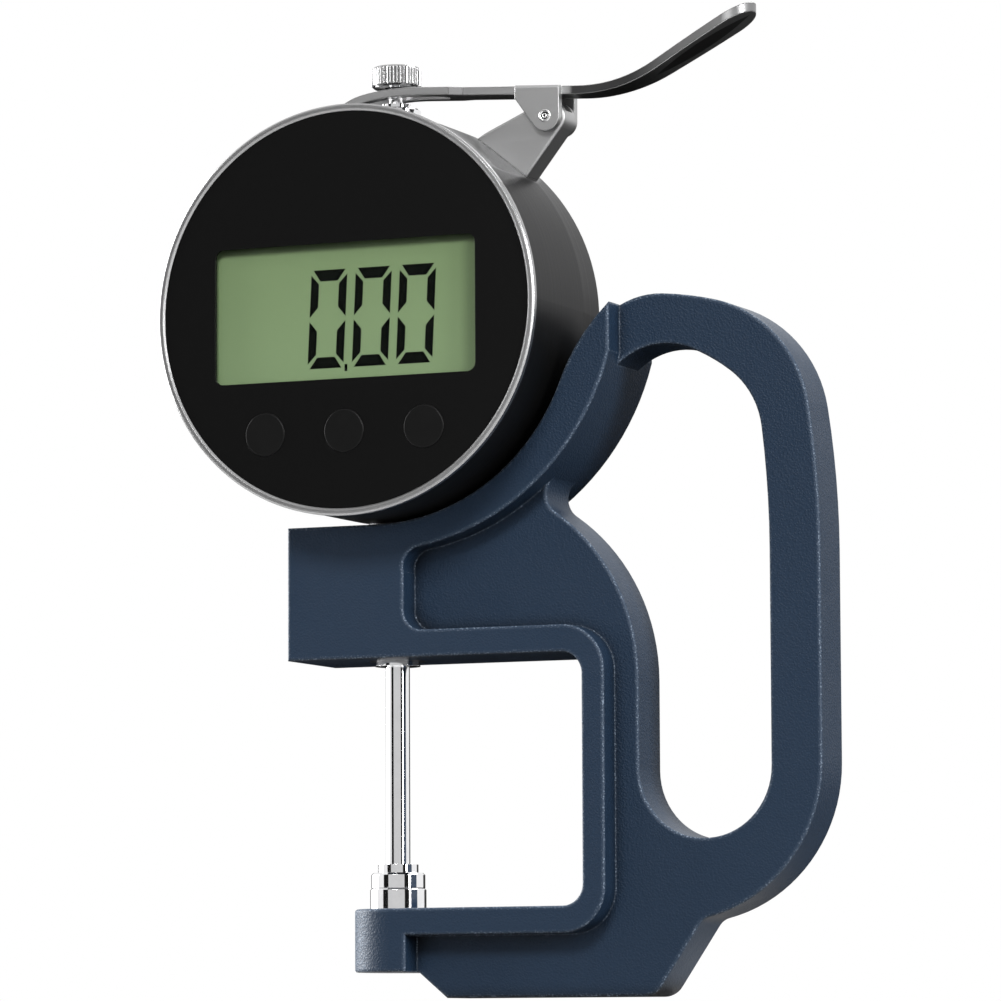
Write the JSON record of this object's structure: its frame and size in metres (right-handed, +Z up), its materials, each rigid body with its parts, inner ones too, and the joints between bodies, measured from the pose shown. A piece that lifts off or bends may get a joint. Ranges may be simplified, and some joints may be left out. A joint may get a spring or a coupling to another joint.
{
  "type": "digital thickness gauge",
  "caption": "Hand-held digital thickness gauge: C-shaped frame with a D-handle, round display head, lifting lever, and a sprung spindle over a flat anvil.",
  "frame": {"origin": "centre of the frame's flat base face, on the gauge's middle plane", "axes": "+Z up along the spindle, +X from the spindle towards the handle, +Y towards the back; the display faces -Y"},
  "size_m": [0.0927, 0.0258, 0.1355],
  "materials": {
    "casting_paint": "satin powder coat with a fine leather grain",
    "case_grey": "satin dark anodised",
    "ring_silver": "turned satin",
    "panel_black": "glossy",
    "lens_clear": "clear",
    "lcd_green": "satin",
    "black_plastic": "matte",
    "key_black": "satin",
    "strip_rubber": "matte",
    "board_green": "satin solder mask",
    "polished_steel": "polished",
    "pressed_steel": "brushed and polished",
    "screw_steel": "satin",
    "black_steel": "blackened",
    "bush_bronze": "satin",
    "contact_brass": "satin",
    "cell_steel": "satin",
    "scale_glass": "clear"
  },
  "bodies": {
    "gauge_body": {"frame": "casting_paint", "anvil": "polished_steel", "anvil_set_screw": "black_steel", "stem": "ring_silver", "lower_bush": "ring_silver", "stem_clamp_screw": "black_steel", "case_housing": "case_grey", "top_collar": "polished_steel", "bezel_ring": "ring_silver", "front_panel": "panel_black", "window_lens": "lens_clear", "display_cell": "lcd_green", "display_frame": "black_plastic", "contact_strips": "strip_rubber", "main_board": "board_green", "board_screws": "screw_steel", "key_switches": "black_plastic", "reader_board": "board_green", "board_headers": "black_plastic", "back_cover": "black_plastic", "cover_screws": "screw_steel", "battery_cap": "black_plastic", "coin_cell": "cell_steel", "battery_contacts": "contact_brass", "spring_post": "screw_steel", "return_spring": "pressed_steel", "lever_bracket": "pressed_steel", "bracket_screws": "screw_steel"},
    "spindle": {"spindle": "polished_steel", "lifting_knob": "polished_steel", "contact_point": "polished_steel", "scale_carrier": "ring_silver", "scale_strip": "scale_glass", "carrier_screw": "black_steel", "guide_pin": "polished_steel", "spring_pin": "screw_steel"},
    "lever": {"lift_lever": "pressed_steel", "pivot_pin": "polished_steel", "lever_spring": "pressed_steel"},
    "key_left": {"key_left": "key_black"},
    "key_centre": {"key_centre": "key_black"},
    "key_right": {"key_right": "key_black"}
  },
  "joints": [
    {"name": "spindle_lift", "type": "slide", "parent": "gauge_body", "child": "spindle", "axis": [0, 0, 1], "range_m": [0, 0.01], "stiffness_N_per_m": 40, "springref_m": -0.02, "deforming": ["return_spring"]},
    {"name": "lever_pivot", "type": "hinge", "parent": "gauge_body", "child": "lever", "pos_m": [-0.0004, 0, 0.1215], "axis": [0, 1, 0], "range_deg": [0, 23.1]},
    {"name": "left_key_press", "type": "slide", "parent": "gauge_body", "child": "key_left", "axis": [0, 1, 0], "range_m": [0, 0.0004], "stiffness_N_per_m": 300, "springref_m": -0.001},
    {"name": "centre_key_press", "type": "slide", "parent": "gauge_body", "child": "key_centre", "axis": [0, 1, 0], "range_m": [0, 0.0004], "stiffness_N_per_m": 300, "springref_m": -0.001},
    {"name": "right_key_press", "type": "slide", "parent": "gauge_body", "child": "key_right", "axis": [0, 1, 0], "range_m": [0, 0.0004], "stiffness_N_per_m": 300, "springref_m": -0.001}
  ],
  "couplings": [
    {"joint": "lever_pivot", "follows": "spindle_lift", "rad_per_m": 40.16}
  ]
}
